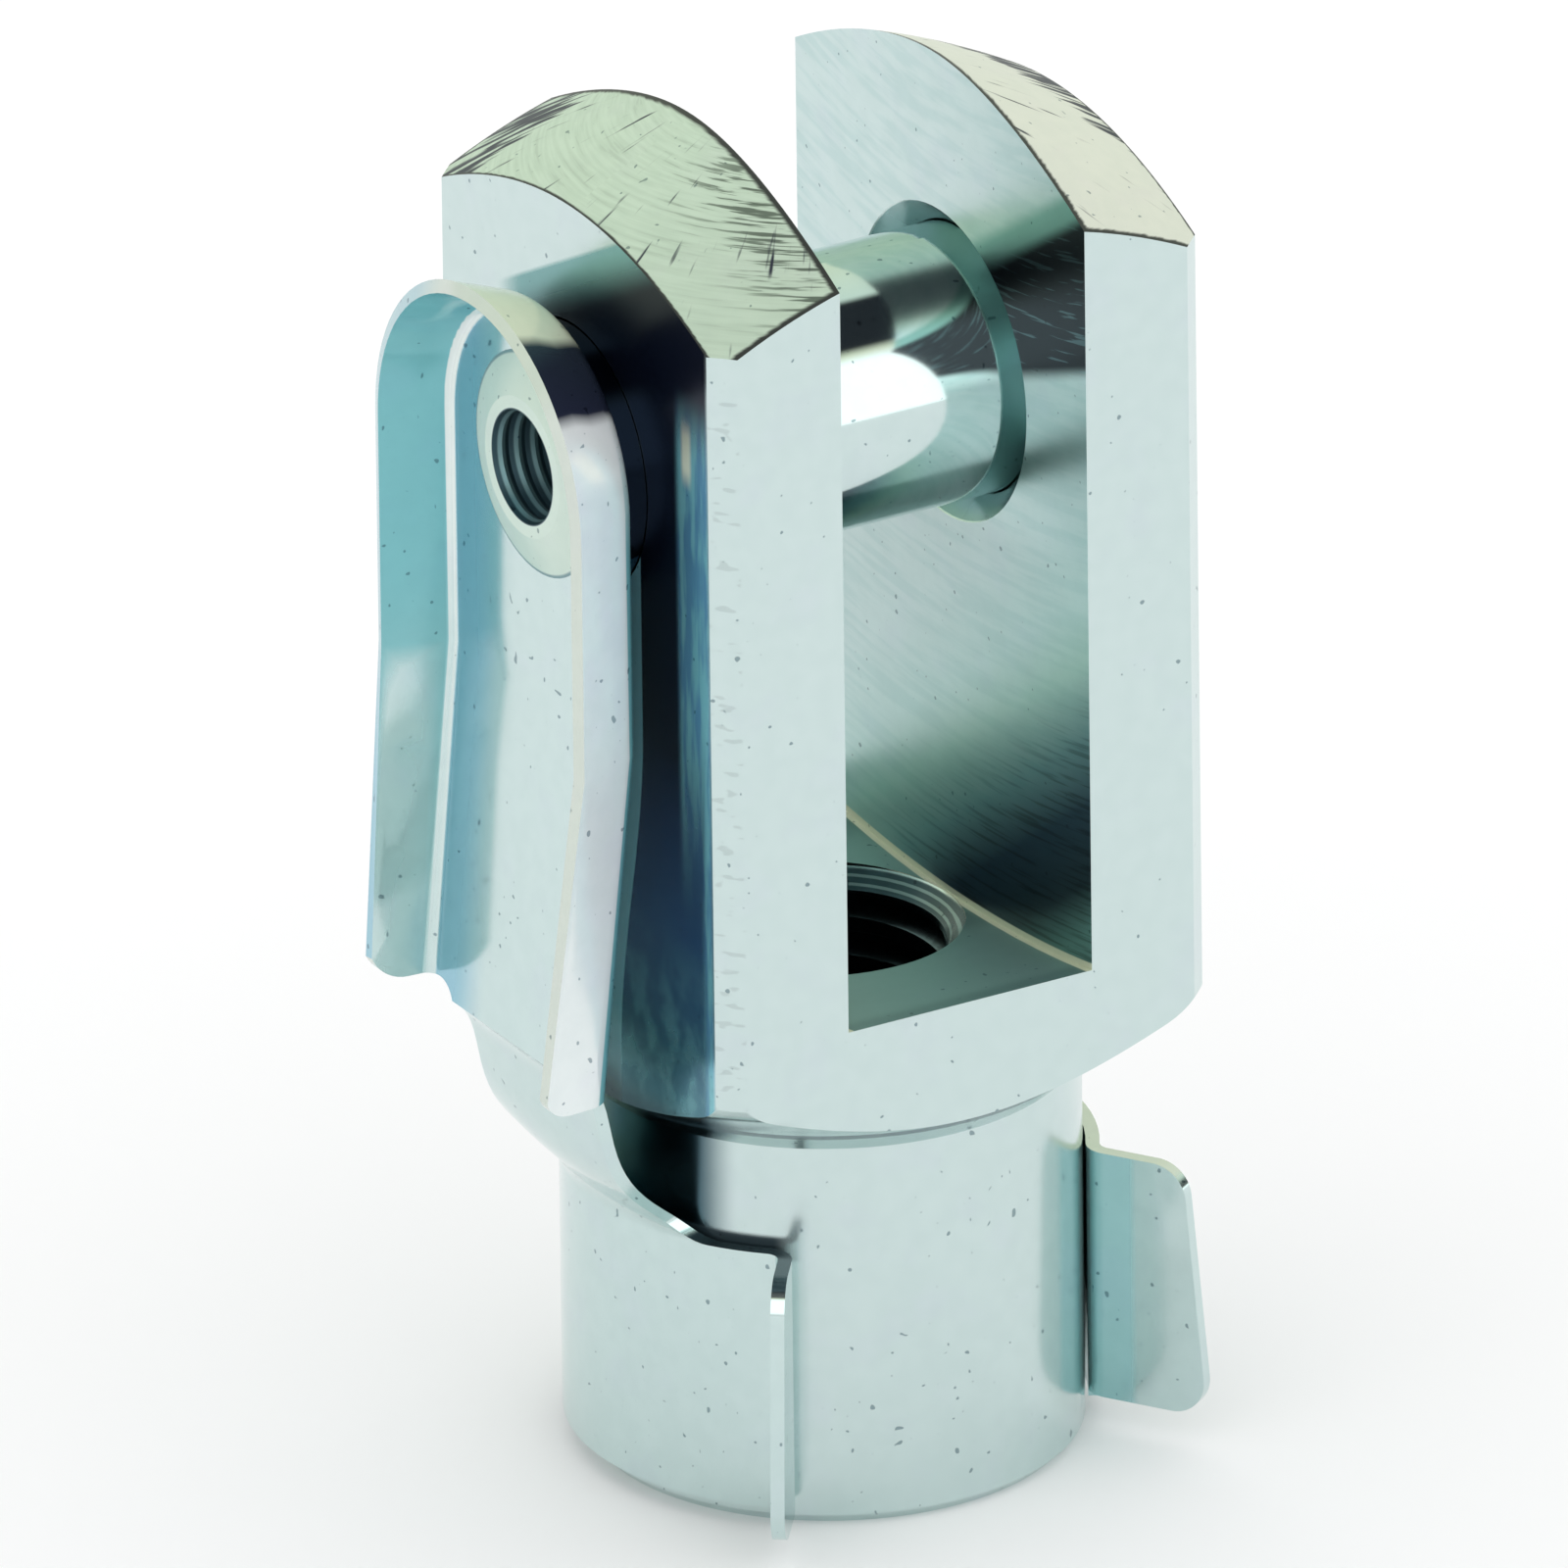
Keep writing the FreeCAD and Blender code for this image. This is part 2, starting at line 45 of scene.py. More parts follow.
CAMERA_AZIMUTH = -30.281
CAMERA_ELEVATION = 24.47
CAMERA_ROLL = -0.713
CAMERA_DISTANCE = 2428.48 * MM
CAMERA_TARGET = Vector((0, 0, 27 * MM))
CAMERA_RIGHT_OFFSET = 1.423 * MM
CAMERA_UP_OFFSET = 2.017 * MM
FOCAL_PIXELS = 70000.0
FRAME_PIXELS = 1600
SENSOR_WIDTH = 36.0
CLIP_START = 0.1
CLIP_END = 100

# Studio: angles go over the top from the front horizon, and the dark strip overhead leans with x

STRIP_LEAN = math.radians(15)
STUDIO_STRENGTH = 2.0
FLOOR_LIGHT = 1.12
BACKDROP_LIGHT = 1.0
WHITE = (1, 1, 1, 1)
FLOOR_HALF = 600 * MM
FLOOR_COLOR = (0.92, 0.92, 0.92)
STUDIO_LEVELS = (
    (-180, (0.40, 0.44, 0.38)),
    (-6, (0.42, 0.42, 0.42)),
    (1, (0.85, 0.87, 0.86)),
    (50, (0.85, 0.87, 0.86)),
    (57, (0.52, 0.52, 0.40)),
    (63, (0.01, 0.012, 0.015)),
    (103, (0.01, 0.012, 0.015)),
    (108, (0.43, 0.48, 0.42)),
    (150, (0.45, 0.48, 0.37)),
    (180, (0.38, 0.43, 0.36)),
)

# Thread in the neck

THREAD_PITCH = 1.5 * MM
THREAD_ROOT_RADIUS = 4.95 * MM
THREAD_INNER_RADIUS = 4.2 * MM
THREAD_ROOT_HALF = 0.094 * MM
THREAD_FLANK = math.tan(math.radians(30))
THREAD_SEGMENTS = 64
THREAD_BOTTOM = -1.5 * MM
THREAD_TURNS = 15
WELD_DISTANCE = 0.0005 * MM
SHADING_ATTRIBUTES = ("custom_normal", "sharp_edge", "sharp_face")
SHARP_ANGLE = math.radians(28)

# The part's sizes that the colours go by, in millimetres

HALF_BAR = 10.0
HALF_SLOT = 5.0
SLOT_FLOOR = 19.4
CUTTER_RADIUS = 62.5
CUTTER_HEIGHT = SLOT_FLOOR + CUTTER_RADIUS
PIN_HEIGHT = 40.0
COUNTERSINK_RADIUS = 5.85

# Below, a pair of numbers is a fade: where a mask is 0, and where it is 1. Three numbers are a band:
# its low end, its high end and the fade outside them. They are in millimetres, or parts of a normal.

FORK_ROUGHNESS = 0.2
PIN_ROUGHNESS = 0.08
CLIP_ROUGHNESS = 0.12
PALE = (0.61, 0.73, 0.72)
PIN_COLOR = (0.6, 0.72, 0.71)
PLATED_STEEL = (0.6, 0.73, 0.72)
FLAT = (0.8, 0.9)

# Plating: clouds, lilac patches, specks and pits

Flaw = namedtuple("Flaw", "scale detail fade share tint")
PLATING = (
    Flaw(scale=1.3, detail=4.0, fade=(0.3, 0.7), share=1.0, tint=(0.965, 0.972, 0.972)),
    Flaw(scale=0.45, detail=2.0, fade=(0.5, 0.75), share=0.35, tint=(1.0, 0.955, 1.02)),
    Flaw(scale=9.0, detail=1.0, fade=(0.72, 0.8), share=0.25, tint=(0.72, 0.76, 0.77)),
    Flaw(scale=3.4, detail=0.0, fade=(0.8, 0.84), share=0.8, tint=(0.3, 0.36, 0.4)),
)

# Tool marks: how often they change along each of two values, where they start and their detail

Streak = namedtuple("Streak", "first second offset detail")
MILLED_ARCS = Streak(first=2.2, second=9.0, offset=0.0, detail=3.0)
MILLED_LINES = Streak(first=6.0, second=14.0, offset=3.0, detail=2.0)
DOME_RINGS = Streak(first=6.5, second=3.2, offset=0.0, detail=3.0)
DOME_COMB = Streak(first=0.35, second=28.0, offset=7.0, detail=2.0)
SIDE_MOTTLE = Streak(first=0.9, second=0.63, offset=0.0, detail=3.0)
SIDE_GRAIN = Streak(first=2.0, second=0.25, offset=0.0, detail=3.0)

# Slot walls: their painted light and shade, dark low down and pale higher up, go by a level, which is the
# height plus a share of y

SLOT_SIDE = (HALF_SLOT + 0.06, HALF_SLOT + 0.03)
SLOT_BOTTOM = (SLOT_FLOOR - 0.1, SLOT_FLOOR - 0.05)
WALL_SLANT = 0.72
WALL_SPAN = 40.0
WALL_LIGHT_AND_SHADE = (
    (14.5, (0.12, 0.26, 0.23)),
    (16.5, (0.03, 0.06, 0.07)),
    (19.5, (0.03, 0.07, 0.1)),
    (22.0, (0.15, 0.3, 0.31)),
    (25.0, (0.42, 0.66, 0.58)),
    (27.5, (0.56, 0.77, 0.74)),
    (31.0, (0.62, 0.78, 0.77)),
    (38.0, (0.6, 0.73, 0.72)),
)
ARC_FADE = (0.42, 0.62)
ARC_SHARE = 0.6
ARC_TINT = (0.82, 0.9, 0.9)
LINE_FADE = (0.5, 0.64)
LINE_TINT = (0.45, 0.5, 0.5)
DEEP_WALL = (25.0, 20.0)
DULL_WALL = (37.0, 34.0)
WALL_DULLNESS = 0.55

# Slot floor, and the pale corner between it and the walls

FLOOR_TEAL = (0.21, 0.37, 0.35)
FLOOR_LINE_FADE = (0.45, 0.7)
FLOOR_LINE_TINT = (0.6, 0.65, 0.65)
CORNER_REACH = (CUTTER_RADIUS - 0.28, CUTTER_RADIUS - 0.22)
CORNER_SIDE = (HALF_SLOT - 0.26, HALF_SLOT - 0.2)
CORNER_COLOR = (0.66, 0.7, 0.52)

# Painted shadow of the pin on the right wall, a black wedge with a painted teal edge: its slanting edges
# are a slope along y and a height at y 0

WEDGE_TOP = (-0.66, 42.62)
WEDGE_BOTTOM = (-0.4, 39.16)
WEDGE_SIDE = (0.0, 1.0)
WEDGE_FRONT = (-1.0, -2.5)
WEDGE_EDGE = (-1.0, 0.9, 0.8)
WEDGE_EDGE_LOW = (0.0, 1.0)
WEDGE_HIGH = (0.4, -0.3)
WEDGE_LOW = (-0.2, 0.5)
PIN_SHADOW_EDGE_TEAL = (0.25, 0.46, 0.42)
PIN_SHADOW_BLACK = (0.004, 0.01, 0.018)
SCRATCH_FADE = (0.58, 0.66)
SCRATCH_SHARE = 0.5
SCRATCH_COLOR = (0.1, 0.18, 0.2)

# Domed tips: the left one is green with torn rings, the right one is cream, which is painted light; a
# ragged painted dark reflection runs along the outer edges, and a painted dark line of shade along all
# edges

DOME_FACING = (0.3, 0.4)
DOME_START = (45.5, 46.0)
DOME_COLOR = (0.55, 0.68, 0.54)
RING_FADE = (0.35, 0.6)
RING_TINT = (0.92, 0.93, 0.92)
LEFT_TIP = (0.0, -1.0)
RIGHT_TIP = (4.0, 4.5)
RIGHT_TIP_LIGHT = (0.7, 0.73, 0.63)
TORN_SIDE = (-8.8, -6.0)
TORN_FRONT = (-0.5, -4.5)
TORN_GAIN = 0.1
TORN_SHARE = 0.75
STREAK_SHARE = 0.12
STREAK_FADE = (0.6, 0.68)
STREAK_COLOR = (0.07, 0.1, 0.07)
LEFT_TIP_BACK = (5.0, 8.5)
COMB_SLANT = 0.3
COMB_SIDE = (7.6, 8.9)
COMB_BACK = (-8.0, -4.0)
COMB_GAIN = 0.24
COMB_FADE = (0.64, 0.74)
COMB_REFLECTION = (0.02, 0.025, 0.045)
INNER_RIM_SHARE = 0.42
FRONT_RIM_SHARE = 0.5
RIM_GAIN = 0.1
RIM_FADE = (0.17, 0.1)
EDGE_LINE_SHADE = (0.035, 0.04, 0.035)

# Side behind the clip: painted shade where it faces the gap, below a slanting edge like the wedge's, with
# a painted teal reflection along that edge and teal mottled patches low down

SIDE_FACE = (-9.85, -9.95)
SIDE_FACING = (-0.8, -0.9)
SIDE_EDGE = (-0.547, 47.7)
SIDE_SPAN = 50.0
SIDE_PAINTED_SHADE = (
    (15.0, (0.3, 0.5, 0.5)),
    (17.0, (0.06, 0.2, 0.25)),
    (20.0, (0.035, 0.12, 0.2)),
    (24.0, (0.02, 0.075, 0.18)),
    (28.0, (0.012, 0.035, 0.1)),
    (31.0, (0.006, 0.01, 0.025)),
    (48.0, (0.006, 0.01, 0.025)),
)
SIDE_TOP = (2.4, 0.4)
SIDE_TOP_REFLECTION = (0.2, 0.42, 0.42)
GAP_TOP = (0.0, 0.25)
GAP_FRONT = (-9.3, -9.0)
GAP_BOTTOM = (14.6, 16.0)
GAP_BACK = (3.0, 1.0)
HEAD_START = (38.0, 42.0)
HEAD_REACH = 7.0
MOTTLE_FADE = (0.4, 0.65)
PATCH_HEIGHT = (25.0, 18.0)
PATCH_SHARE = 0.7
PATCH_COLOR = (0.14, 0.34, 0.38)

# Painted reflection: a blue strip along the front of that side, with a painted glint near the head

STRIP_WIDE = (-6.8, -7.3)
STRIP_RISE = (24.0, 34.0)
STRIP_NARROW = (-8.3, -8.9)
STRIP_TOP = (45.5, 42.0)
GRAIN_FADE = (0.4, 0.6)
STRIP_REFLECTION_BLUES = ((0.12, 0.32, 0.5), (0.22, 0.55, 0.62))
GLINT_SIDE = (-7.85, -7.55, 0.3)
GLINT_HEIGHT = (42.4, 43.5, 1.0)
GLINT_HIGHLIGHT = (0.95, 1.0, 0.8)

# Painted teal reflection behind the channel's fold: how far the fold shifts as the channel leans, and
# where it starts

CHANNEL_LEAN = (31.0, 17.8)
CHANNEL_FOLD = (1.8, -4.42)
BEHIND_FOLD = (-0.05, 0.05)
BEHIND_HEIGHT = (41.0, 39.0)
BEHIND_REFLECTION_TINT = (0.4, 0.85, 0.95)
BEHIND_REFLECTION = (0.26, 0.56, 0.62)

# Holes in the fork: painted shade in the threaded hole, and painted light and shade on the ridges in the
# thread's mouth, which are a sine, in radians a millimetre

COUNTERSINK_RIM = (COUNTERSINK_RADIUS + 0.02, COUNTERSINK_RADIUS - 0.02)
EAR_INSIDE = (HALF_SLOT + 0.06, 8.0, 0.04)
COUNTERSINK_COLOR = (0.26, 0.44, 0.44)
THREAD_HOLE = (5.2, 5.0)
HOLE_TOP = (SLOT_FLOOR - 0.02, SLOT_FLOOR - 0.1)
HOLE_SHADE = (0.12, 0.17, 0.19)
MOUTH_BOTTOM = (18.7, 18.8)
MOUTH_RIDGES = 26.0
MOUTH_RIDGE_FADE = (0.2, 0.8)
MOUTH_LIGHT_AND_SHADE = ((0.04, 0.08, 0.09), (0.22, 0.32, 0.31))

# Neck: painted shade in the groove under the shoulder, a band of painted shade by the side ear, and
# painted shade in the nook and a painted shadow line by the clamp

GROOVE_HEIGHT = (15.35, 15.62, 0.05)
GROOVE_INSIDE = (9.6, 9.7)
GROOVE_OUTSIDE = (10.6, 10.5)
GROOVE_SHADE = (0.16, 0.22, 0.24)
BAND_SIDE = (6.9, 7.3, 0.3)
BAND_FRONT = (-3.0, -4.0)
BAND_HEIGHT = (1.2, 10.6, 0.3)
BAND_SHADE = (0.5, 0.67, 0.66)
NOOK_SIDE = (-7.0, -8.0)
NOOK_BACK = (3.5, -1.0)
NOOK_HEIGHT = (10.8, 16.0, 1.6)
NOOK_SHADE = (0.06, 0.12, 0.15)
SHADOW_LINE_SIDE = (-5.3, -6.2)
SHADOW_LINE_BACK = (0.0, -1.0)
SHADOW_LINE_HEIGHT = (10.4, 11.1, 0.2)
SHADOW_LINE_COLOR = (0.03, 0.05, 0.06)

# Small dark marks on the chamfer beside the clip, and how often they change across and along it

TICKS_ACROSS = 1.5
TICKS_ALONG = 3.0
TICK_FADE = (0.6, 0.66)
TICK_SHARE = 0.28
TICK_COLOR = (0.3, 0.36, 0.36)
CHAMFER_FADE = (-9.1, -9.25)
CHAMFER_BOTTOM = (16.0, 17.0)
CHAMFER_TOP = (47.0, 46.5)

# Pin: the rivet head with a painted shadow line at its rim, its hole in painted shade with rings of
# painted light and shade that are a sine, and painted shade on the rim of the pin's thick part

RIVET_HEAD = (-11.5, -11.6)
RIVET_HOLE_OUTSIDE = (2.12, 2.16)
RIVET_HOLE_INSIDE = (2.16, 2.12)
RIVET_HOLE_BOTTOM = (-6.0, -7.0)
RIVET_COLOR = (0.62, 0.74, 0.66)
RIVET_RIM = (3.98, 4.08)
RIVET_RIM_SHADOW = (0.2, 0.32, 0.34)
RIVET_RINGS = 9.4
RIVET_RING_FADE = (-0.3, 0.5)
RIVET_HOLE_LIGHT_AND_SHADE = ((0.04, 0.08, 0.1), (0.22, 0.36, 0.38))
PIN_END = (-9.95, -10.05)
PIN_RIM = (4.85, 4.9)
PIN_GAP_SHADE = (0.06, 0.1, 0.16)

# Clamp: its cut edges, painted shade on the part of them by the neck's nook, and painted teal reflections
# on its two ears

CLAMP_PART = (15.5, 15.0)
UPWARD = (0.6, 0.8)
UPRIGHT = (0.3, 0.2)
CUT_EDGE_COLOR = (0.62, 0.68, 0.6)
LANDING_SIDE = (-3.0, -4.2)
LANDING_FRONT = (-3.0, -4.5)
LANDING_SHADE = (0.04, 0.07, 0.08)
EAR_FRONT = (-9.3, -9.7)
EAR_LEFT = (-7.5, -7.0)
EAR_RIGHT = (-3.0, -3.6)
EAR_FACING = (0.2, 0.4)
EAR_REFLECTION_TEAL = (0.34, 0.62, 0.58)
SIDE_EAR_START = (6.5, 7.0)
SIDE_EAR_FRONT = (-3.0, -3.5)
SIDE_EAR_BEND = (8.5, 8.3)
SIDE_EAR_REFLECTION_TEAL = (0.42, 0.66, 0.67)

# Channel outside: painted shade on its faces towards the fork, painted light and dark reflections whose
# degrees go round its arched head from the front to the top and on to the back, and a painted teal
# reflection on the bend

CHANNEL_START = (17.0, 17.6)
INNER_FACING = (0.75, 0.9)
INNER_SHADE_BLUE = (0.1, 0.2, 0.3)
OUTSIDE = (-0.05, 0.0)
AHEAD = (0.85, 0.7)
ARCH_REFLECTIONS = (
    (0.0, (0.8, 0.86, 0.86)),
    (12.6, (0.8, 0.86, 0.86)),
    (18.0, (0.9, 0.94, 0.94)),
    (34.2, (0.9, 0.94, 0.94)),
    (38.7, (0.02, 0.025, 0.05)),
    (62.1, (0.02, 0.03, 0.045)),
    (66.6, (0.68, 0.74, 0.56)),
    (108.0, (0.6, 0.7, 0.54)),
    (144.0, (0.4, 0.5, 0.44)),
)
BEND_FACING = (0.42, 0.5)
BEND_TOP = (44.0, 38.0)
BEND_REFLECTION_TEAL = (0.2, 0.5, 0.54)
FLANGE_RIM = (-13.4, -13.6)
FLANGE_RIM_FACING = (-0.75, -0.85)
FLANGE_RIM_COLOR = (0.62, 0.68, 0.62)

# Channel hollow: the back flange, the tray and a painted highlight along the crease between them

HOLLOW = (-11.3, -11.4)
FORWARD = (0.2, 0.0)
DOWNWARD = (0.1, 0.0)
BACK_FLANGE = (4.6, 6.0)
BACK_FACING = (-0.85, -0.75)
BACK_FADE = (34.0, 20.0)
BACK_TEALS = ((0.2, 0.52, 0.56), (0.34, 0.58, 0.57))
TRAY_FACING = (-0.9, -0.97)
TRAY_BACK = (2.0, 4.4)
TRAY_BLUE = (0.3, 0.54, 0.64)
CREASE_START = (4.6, 5.0)
CREASE_FACING = (-0.9, -0.5, 0.08)
CREASE_DEPTH = (-13.2, -12.9)
CREASE_HIGHLIGHT = (0.8, 0.86, 0.84)


def add_camera():
    azimuth = math.radians(CAMERA_AZIMUTH)
    elevation = math.radians(CAMERA_ELEVATION)
    roll = math.radians(CAMERA_ROLL)
    back = Vector((
        math.sin(azimuth) * math.cos(elevation),
        -math.cos(azimuth) * math.cos(elevation),
        math.sin(elevation),
    ))
    level_right = Vector((math.cos(azimuth), math.sin(azimuth), 0))
    level_up = back.cross(level_right)
    right = level_right * math.cos(roll) + level_up * math.sin(roll)
    up = level_up * math.cos(roll) - level_right * math.sin(roll)
    data = bpy.data.cameras.new("camera")
    data.sensor_fit = "HORIZONTAL"
    data.sensor_width = SENSOR_WIDTH
    data.lens = FOCAL_PIXELS / FRAME_PIXELS * SENSOR_WIDTH
    data.clip_start = CLIP_START
    data.clip_end = CLIP_END
    camera = bpy.data.objects.new("camera", data)
    bpy.context.collection.objects.link(camera)
    aside = right * CAMERA_RIGHT_OFFSET + up * CAMERA_UP_OFFSET
    camera.location = CAMERA_TARGET + back * CAMERA_DISTANCE - aside
    camera.rotation_mode = "QUATERNION"
    camera.rotation_quaternion = Matrix((right, up, back)).transposed().to_quaternion()
    bpy.context.scene.camera = camera


class Graph:
    """A node tree with short ways to add and join nodes."""

    def __init__(self, tree):
        self.tree = tree

    def node(self, kind, **settings):
        made = self.tree.nodes.new(kind)
        for name, value in settings.items():
            setattr(made, name, value)
        return made

    def feed(self, socket, value):
        if isinstance(value, bpy.types.NodeSocket):
            self.tree.links.new(value, socket)
        else:
            socket.default_value = value

    def math(self, operation, *values):
        made = self.node("ShaderNodeMath", operation=operation)
        for socket, value in zip(made.inputs, values):
            self.feed(socket, value)
        return made.outputs[0]

    def ramp(self, factor, *stops):
        made = self.node("ShaderNodeValToRGB")
        elements = made.color_ramp.elements
        while len(elements) < len(stops):
            elements.new(1.0)
        for element, (position, color) in zip(elements, stops):
            element.position = position
            element.color = (*color, 1)
        self.feed(made.inputs["Fac"], factor)
        return made.outputs["Color"]

    def mix(self, factor, first, second, blend="MIX"):
        made = self.node("ShaderNodeMix", data_type="RGBA", blend_type=blend)
        self.feed(made.inputs["Factor"], factor)
        for name, value in (("A", first), ("B", second)):
            socket = next(item for item in made.inputs if item.name == name and item.type == "RGBA")
            self.feed(socket, (*value, 1) if isinstance(value, tuple) else value)
        return next(item for item in made.outputs if item.type == "RGBA")

    def step(self, value, fade):
        """A mask that is 0 at the fade's first end and 1 at its second, smooth between them."""
        start, end = fade
        rising = start < end
        made = self.node("ShaderNodeMapRange", interpolation_type="SMOOTHSTEP")
        made.inputs["From Min"].default_value = min(start, end)
        made.inputs["From Max"].default_value = max(start, end)
        made.inputs["To Min"].default_value = 0.0 if rising else 1.0
        made.inputs["To Max"].default_value = 1.0 if rising else 0.0
        self.feed(made.inputs["Value"], value)
        return made.outputs["Result"]

    def noise(self, vector, scale, detail):
        made = self.node("ShaderNodeTexNoise")
        made.inputs["Scale"].default_value = scale
        made.inputs["Detail"].default_value = detail
        self.feed(made.inputs["Vector"], vector)
        return made.outputs["Fac"]


def set_world():
    world = bpy.data.worlds.new("studio")
    bpy.context.scene.world = world
    world.use_nodes = True
    world.node_tree.nodes.clear()
    graph = Graph(world.node_tree)
    output = graph.node("ShaderNodeOutputWorld")
    direction = graph.node("ShaderNodeTexCoord").outputs["Generated"]
    split = graph.node("ShaderNodeSeparateXYZ")
    graph.feed(split.inputs[0], direction)
    angle = graph.math("ARCTAN2", split.outputs["Z"], graph.math("MULTIPLY", split.outputs["Y"], -1.0))
    leaning = graph.math("MULTIPLY_ADD", split.outputs["X"], STRIP_LEAN, angle)
    # Half a turn down to half a turn up becomes 0 to 1
    share = graph.math("MULTIPLY_ADD", leaning, 0.5 / math.pi, 0.5)
    color = graph.ramp(share, *((degrees / 360 + 0.5, color) for degrees, color in STUDIO_LEVELS))
    studio = graph.node("ShaderNodeBackground")
    graph.feed(studio.inputs["Color"], color)
    studio.inputs["Strength"].default_value = STUDIO_STRENGTH
    soft = graph.node("ShaderNodeBackground")
    soft.inputs["Color"].default_value = WHITE
    soft.inputs["Strength"].default_value = FLOOR_LIGHT
    seen = graph.node("ShaderNodeBackground")
    seen.inputs["Color"].default_value = WHITE
    seen.inputs["Strength"].default_value = BACKDROP_LIGHT
    path = graph.node("ShaderNodeLightPath")
    lit = graph.node("ShaderNodeMixShader")
    graph.feed(lit.inputs[0], path.outputs["Is Glossy Ray"])
    graph.feed(lit.inputs[1], soft.outputs[0])
    graph.feed(lit.inputs[2], studio.outputs[0])
    either = graph.node("ShaderNodeMixShader")
    graph.feed(either.inputs[0], path.outputs["Is Camera Ray"])
    graph.feed(either.inputs[1], lit.outputs[0])
    graph.feed(either.inputs[2], seen.outputs[0])
    graph.feed(output.inputs["Surface"], either.outputs[0])


def add_floor():
    mesh = bpy.data.meshes.new("floor")
    half = FLOOR_HALF
    mesh.from_pydata(
        [(-half, -half, 0), (half, -half, 0), (half, half, 0), (-half, half, 0)],
        [],
        [(0, 1, 2, 3)],
    )
    floor = bpy.data.objects.new("floor", mesh)
    bpy.context.collection.objects.link(floor)
    material = bpy.data.materials.new("floor")
    material.use_nodes = True
    material.node_tree.nodes.clear()
    graph = Graph(material.node_tree)
    output = graph.node("ShaderNodeOutputMaterial")
    paper = graph.node("ShaderNodeBsdfDiffuse")
    paper.inputs["Color"].default_value = (*FLOOR_COLOR, 1)
    graph.feed(output.inputs["Surface"], paper.outputs[0])
    mesh.materials.append(material)


def threaded_rod():
    """A closed rod with the screw's thread, that cuts the thread into the neck."""
    reach = THREAD_ROOT_HALF + (THREAD_ROOT_RADIUS - THREAD_INNER_RADIUS) * THREAD_FLANK
    profile = (
        (-reach, THREAD_INNER_RADIUS),
        (-THREAD_ROOT_HALF, THREAD_ROOT_RADIUS),
        (THREAD_ROOT_HALF, THREAD_ROOT_RADIUS),
        (reach, THREAD_INNER_RADIUS),
    )
    made = bmesh.new()
    rings = []
    for index in range(THREAD_SEGMENTS * THREAD_TURNS + 1):
        angle = 2 * math.pi * index / THREAD_SEGMENTS
        middle = THREAD_BOTTOM + THREAD_PITCH * index / THREAD_SEGMENTS
        rings.append([
            made.verts.new((radius * math.cos(angle), radius * math.sin(angle), middle + rise))
            for rise, radius in profile
        ])
    for index in range(len(rings) - 1):
        here, there = rings[index], rings[index + 1]
        for low in range(len(profile) - 1):
            made.faces.new((here[low], there[low], there[low + 1], here[low + 1]))
        if index + THREAD_SEGMENTS + 1 < len(rings):
            above, beside = rings[index + THREAD_SEGMENTS], rings[index + THREAD_SEGMENTS + 1]
            made.faces.new((here[-1], there[-1], beside[0], above[0]))
    first, last = rings[:THREAD_SEGMENTS + 1], rings[-THREAD_SEGMENTS - 1:]
    bottom = made.verts.new((0, 0, first[0][0].co.z))
    top = made.verts.new((0, 0, last[-1][-1].co.z))
    for index in range(THREAD_SEGMENTS):
        made.faces.new((bottom, first[index + 1][0], first[index][0]))
        made.faces.new((top, last[index][-1], last[index + 1][-1]))
    made.faces.new((bottom, *first[0], first[-1][0]))
    made.faces.new((top, *reversed(last[-1]), last[0][-1]))
    bmesh.ops.recalc_face_normals(made, faces=made.faces)
    mesh = bpy.data.meshes.new("threaded_rod")
    made.to_mesh(mesh)
    made.free()
    rod = bpy.data.objects.new("threaded_rod", mesh)
    bpy.context.collection.objects.link(rod)
    return rod


def welded_copy(node, name):
    """A copy of a node's mesh in one piece, without the shading that it came with."""
    source = nodes[node]
    mesh = source.data.copy()
    for attribute in SHADING_ATTRIBUTES:
        if attribute in mesh.attributes:
            mesh.attributes.remove(mesh.attributes[attribute])
    welded = bmesh.new()
    welded.from_mesh(mesh)
    bmesh.ops.remove_doubles(welded, verts=welded.verts, dist=WELD_DISTANCE)
    welded.to_mesh(mesh)
    welded.free()
    copy = bpy.data.objects.new(name, mesh)
    copy.matrix_world = source.matrix_world
    bpy.context.collection.objects.link(copy)
    return copy


def shade_crisply(piece):
    """Flat faces stay flat and curved ones are smooth up to their sharp edges."""
    mesh = piece.data
    for face in mesh.polygons:
        face.use_smooth = True
    mesh.set_sharp_from_angle(angle=SHARP_ANGLE)
    flat = piece.modifiers.new("flat_faces", "WEIGHTED_NORMAL")
    flat.keep_sharp = True


def take_place(piece, node, body):
    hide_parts(node)
    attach(piece, body)


def crisp_clip():
    clip = welded_copy("spring_clip", "folded_clip")
    shade_crisply(clip)
    take_place(clip, "spring_clip", "clip")
    return clip


def threaded_fork():
    """A copy of the fork with the thread cut into its bore."""
    fork = welded_copy("fork", "threaded_fork")
    rod = threaded_rod()
    cut = fork.modifiers.new("thread", "BOOLEAN")
    cut.operation = "DIFFERENCE"
    cut.solver = "EXACT"
    cut.object = rod
    bpy.context.view_layer.update()
    done = bpy.data.meshes.new_from_object(
        fork.evaluated_get(bpy.context.evaluated_depsgraph_get())
    )
    fork.modifiers.remove(cut)
    fork.data = done
    bpy.data.objects.remove(rod)
    shade_crisply(fork)
    take_place(fork, "fork", "fork")
    return fork


